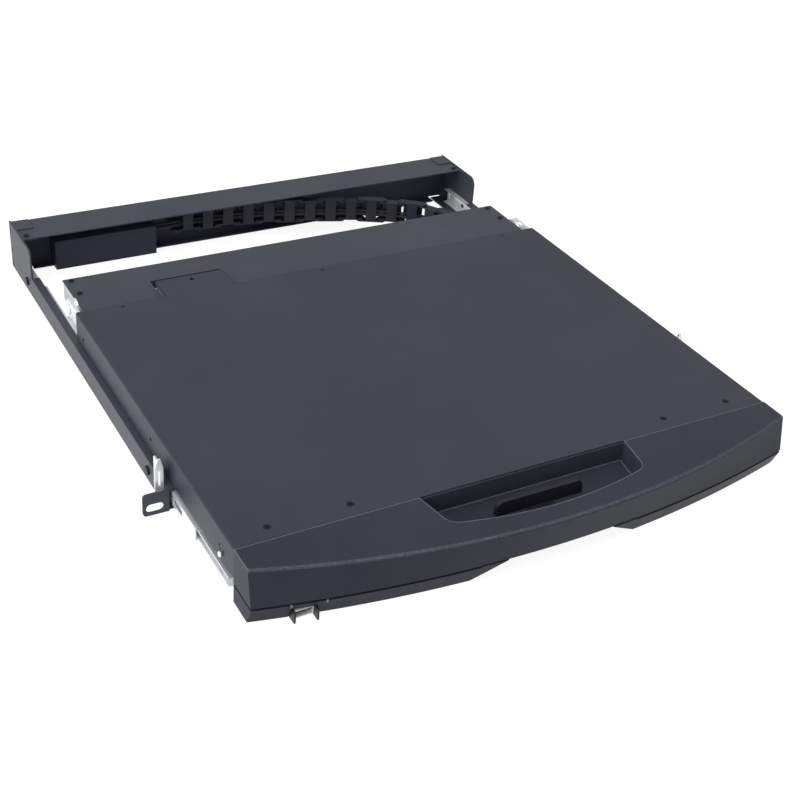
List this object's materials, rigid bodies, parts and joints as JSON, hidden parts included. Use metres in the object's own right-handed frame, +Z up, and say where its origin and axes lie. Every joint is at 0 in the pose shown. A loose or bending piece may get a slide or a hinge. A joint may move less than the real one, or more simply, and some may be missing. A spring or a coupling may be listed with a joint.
{
  "type": "rackmount lcd console drawer",
  "caption": "Rack drawer with a fold-up display lid over a keyboard tray, on telescopic slides between two ear-fronted side rails.",
  "frame": {"origin": "midway between the two slots in the rack ears, on the ears' front face", "axes": "+X to the right seen from the front, +Y to the rear of the rack, +Z up"},
  "size_m": [0.4826, 0.5577, 0.0444],
  "materials": {
    "lid_paint": "fine textured graphite powder coat",
    "housing_paint": "fine textured charcoal powder coat",
    "zinc_steel": "bright zinc plate",
    "screw_steel": "blackened steel",
    "bezel_plastic": "satin moulded plastic",
    "latch_plastic": "satin moulded plastic",
    "chain_nylon": "moulded nylon",
    "cable_jacket": "matte cable jacket",
    "board_laminate": "circuit board laminate",
    "port_metal": "nickel plate",
    "port_plastic": "moulded plastic",
    "light_lens": "clear light pipe",
    "key_plastic": "fine textured key caps",
    "pad_plastic": "satin touch surface",
    "frame_plastic": "satin display surround",
    "screen": "dark display glass",
    "button_plastic": "moulded buttons"
  },
  "bodies": {
    "housing": {"rail_left": "housing_paint", "rail_right": "housing_paint", "rack_clamps": "zinc_steel", "rear_wall": "housing_paint", "rear_cover": "housing_paint", "port_box": "housing_paint", "port_board": "board_laminate", "vga_port": "port_metal", "usb_b_port": "port_metal", "power_port": "port_plastic", "chain_anchor": "chain_nylon", "chain_outer_links": "chain_nylon", "chain_inner_links": "chain_nylon", "console_cables": "cable_jacket", "slide_outer_left": "zinc_steel", "slide_outer_right": "zinc_steel", "frame_screws": "screw_steel"},
    "middle_slide_left": {"slide_middle_left": "zinc_steel"},
    "middle_slide_right": {"slide_middle_right": "zinc_steel"},
    "drawer": {"slide_inner_left": "zinc_steel", "slide_inner_right": "zinc_steel", "keyboard_tray": "housing_paint", "rear_deck": "housing_paint", "drawer_screws": "screw_steel", "hinge_bracket_left": "zinc_steel", "hinge_bracket_right": "zinc_steel", "hinge_pins": "zinc_steel", "trim_left": "bezel_plastic", "trim_right": "bezel_plastic", "usb_guard": "port_plastic", "usb_socket": "port_metal", "status_lights": "light_lens", "keyboard_plate": "housing_paint", "keyboard_base": "zinc_steel", "touchpad": "pad_plastic", "control_board": "board_laminate", "chain_bracket": "chain_nylon"},
    "lid": {"lid_shell": "lid_paint", "front_bezel": "bezel_plastic", "hinge_arms": "zinc_steel", "lid_screws": "screw_steel", "display_frame": "frame_plastic", "display_panel": "screen", "display_mounts": "zinc_steel", "osd_board": "board_laminate"},
    "latch": {"latch_bar": "latch_plastic"},
    "osd_button_set": {"osd_buttons": "button_plastic"},
    "power_key": {"power_button": "button_plastic"},
    "bottom_keys_set": {"bottom_keys": "key_plastic"},
    "space_bar_cap": {"space_bar": "key_plastic"},
    "lower_keys_set": {"lower_keys": "key_plastic"},
    "home_keys_set": {"home_keys": "key_plastic"},
    "upper_keys_set": {"upper_keys": "key_plastic"},
    "number_keys_set": {"number_keys": "key_plastic"},
    "function_keys_set": {"function_keys": "key_plastic"},
    "navigation_keys_set": {"navigation_keys": "key_plastic"},
    "number_pad_set": {"number_pad": "key_plastic"},
    "touch_key_left": {"touch_button_left": "pad_plastic"},
    "touch_key_right": {"touch_button_right": "pad_plastic"}
  },
  "joints": [
    {"name": "drawer_slide", "type": "slide", "parent": "housing", "child": "drawer", "axis": [0, -1, 0], "range_m": [-0.103, 0.24], "deforming": ["chain_outer_links", "chain_inner_links", "console_cables"]},
    {"name": "middle_slide_left_run", "type": "slide", "parent": "housing", "child": "middle_slide_left", "axis": [0, -1, 0], "range_m": [-0.0515, 0.12]},
    {"name": "middle_slide_right_run", "type": "slide", "parent": "housing", "child": "middle_slide_right", "axis": [0, -1, 0], "range_m": [-0.0515, 0.12]},
    {"name": "lid_hinge", "type": "hinge", "parent": "drawer", "child": "lid", "pos_m": [0, 0.239, 0.02835], "axis": [-1, 0, 0], "range_deg": [0, 105]},
    {"name": "latch_slide", "type": "slide", "parent": "lid", "child": "latch", "axis": [0, -1, 0], "range_m": [0, 0.004], "stiffness_N_per_m": 400},
    {"name": "osd_press", "type": "slide", "parent": "lid", "child": "osd_button_set", "axis": [0, 0, 1], "range_m": [0, 0.0008], "stiffness_N_per_m": 900},
    {"name": "power_press", "type": "slide", "parent": "lid", "child": "power_key", "axis": [0, 0, 1], "range_m": [0, 0.0008], "stiffness_N_per_m": 700},
    {"name": "bottom_keys_press", "type": "slide", "parent": "drawer", "child": "bottom_keys_set", "axis": [0, 0, -1], "range_m": [0, 0.0025], "stiffness_N_per_m": 600},
    {"name": "space_bar_press", "type": "slide", "parent": "drawer", "child": "space_bar_cap", "axis": [0, 0, -1], "range_m": [0, 0.0025], "stiffness_N_per_m": 600},
    {"name": "lower_keys_press", "type": "slide", "parent": "drawer", "child": "lower_keys_set", "axis": [0, 0, -1], "range_m": [0, 0.0025], "stiffness_N_per_m": 600},
    {"name": "home_keys_press", "type": "slide", "parent": "drawer", "child": "home_keys_set", "axis": [0, 0, -1], "range_m": [0, 0.0025], "stiffness_N_per_m": 600},
    {"name": "upper_keys_press", "type": "slide", "parent": "drawer", "child": "upper_keys_set", "axis": [0, 0, -1], "range_m": [0, 0.0025], "stiffness_N_per_m": 600},
    {"name": "number_keys_press", "type": "slide", "parent": "drawer", "child": "number_keys_set", "axis": [0, 0, -1], "range_m": [0, 0.0025], "stiffness_N_per_m": 600},
    {"name": "function_keys_press", "type": "slide", "parent": "drawer", "child": "function_keys_set", "axis": [0, 0, -1], "range_m": [0, 0.0025], "stiffness_N_per_m": 600},
    {"name": "navigation_keys_press", "type": "slide", "parent": "drawer", "child": "navigation_keys_set", "axis": [0, 0, -1], "range_m": [0, 0.0025], "stiffness_N_per_m": 600},
    {"name": "number_pad_press", "type": "slide", "parent": "drawer", "child": "number_pad_set", "axis": [0, 0, -1], "range_m": [0, 0.0025], "stiffness_N_per_m": 600},
    {"name": "touch_key_left_press", "type": "slide", "parent": "drawer", "child": "touch_key_left", "axis": [0, 0, -1], "range_m": [0, 0.001], "stiffness_N_per_m": 700},
    {"name": "touch_key_right_press", "type": "slide", "parent": "drawer", "child": "touch_key_right", "axis": [0, 0, -1], "range_m": [0, 0.001], "stiffness_N_per_m": 700}
  ],
  "couplings": [
    {"joint": "middle_slide_left_run", "follows": "drawer_slide", "ratio": 0.5},
    {"joint": "middle_slide_right_run", "follows": "drawer_slide", "ratio": 0.5}
  ]
}
